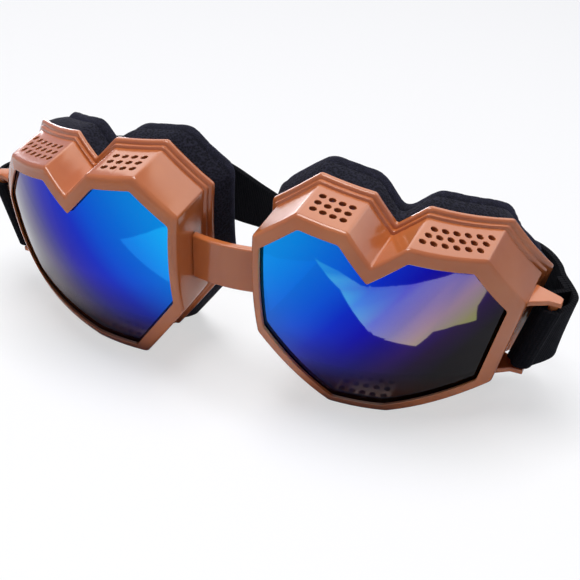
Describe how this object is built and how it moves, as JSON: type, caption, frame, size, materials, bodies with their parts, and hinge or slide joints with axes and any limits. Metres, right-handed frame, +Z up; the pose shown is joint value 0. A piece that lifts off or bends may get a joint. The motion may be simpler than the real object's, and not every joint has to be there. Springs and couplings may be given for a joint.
{
  "type": "strapped goggles",
  "caption": "Faceted heart-shaped goggles with wrapped mirror lenses, vented cups, padded rears and an elastic strap that fastens behind the head.",
  "frame": {"origin": "on the ground in the middle of the object's width and depth, as it rests on its rims and rear flanges", "axes": "+X towards the wearer's left, +Y from the lenses towards the wearer, +Z up"},
  "size_m": [0.2046, 0.095, 0.0781],
  "materials": {
    "tan_plastic": "gloss",
    "blue_mirror_lens": "polished",
    "black_rubber": "matte",
    "charcoal_foam": "matte",
    "black_fleece": "matte",
    "black_elastic": "matte",
    "black_hook_tape": "matte"
  },
  "bodies": {
    "front": {"cup_left": "tan_plastic", "cup_right": "tan_plastic", "nose_bridge": "tan_plastic", "lens_left": "blue_mirror_lens", "lens_right": "blue_mirror_lens", "lens_seal_left": "black_rubber", "lens_seal_right": "black_rubber", "pad_foam_left": "charcoal_foam", "pad_foam_right": "charcoal_foam", "pad_fleece_left": "black_fleece", "pad_fleece_right": "black_fleece"},
    "strap_half_left": {"strap_left": "black_elastic", "loop_tape": "black_fleece"},
    "strap_half_right": {"strap_right": "black_elastic", "hook_tape": "black_hook_tape"}
  },
  "joints": [
    {"name": "strap_right_swing", "type": "hinge", "parent": "front", "child": "strap_half_right", "pos_m": [-0.09254, -0.00919, 0.03181], "axis": [-0.3134, -0.1043, 0.9439], "range_deg": [0, 60]},
    {"name": "strap_left_swing", "type": "hinge", "parent": "front", "child": "strap_half_left", "pos_m": [0.09254, -0.00919, 0.03181], "axis": [-0.3134, 0.1043, -0.9439], "range_deg": [0, 60]}
  ],
  "couplings": [
    {"joint": "strap_left_swing", "follows": "strap_right_swing", "ratio": 1}
  ]
}
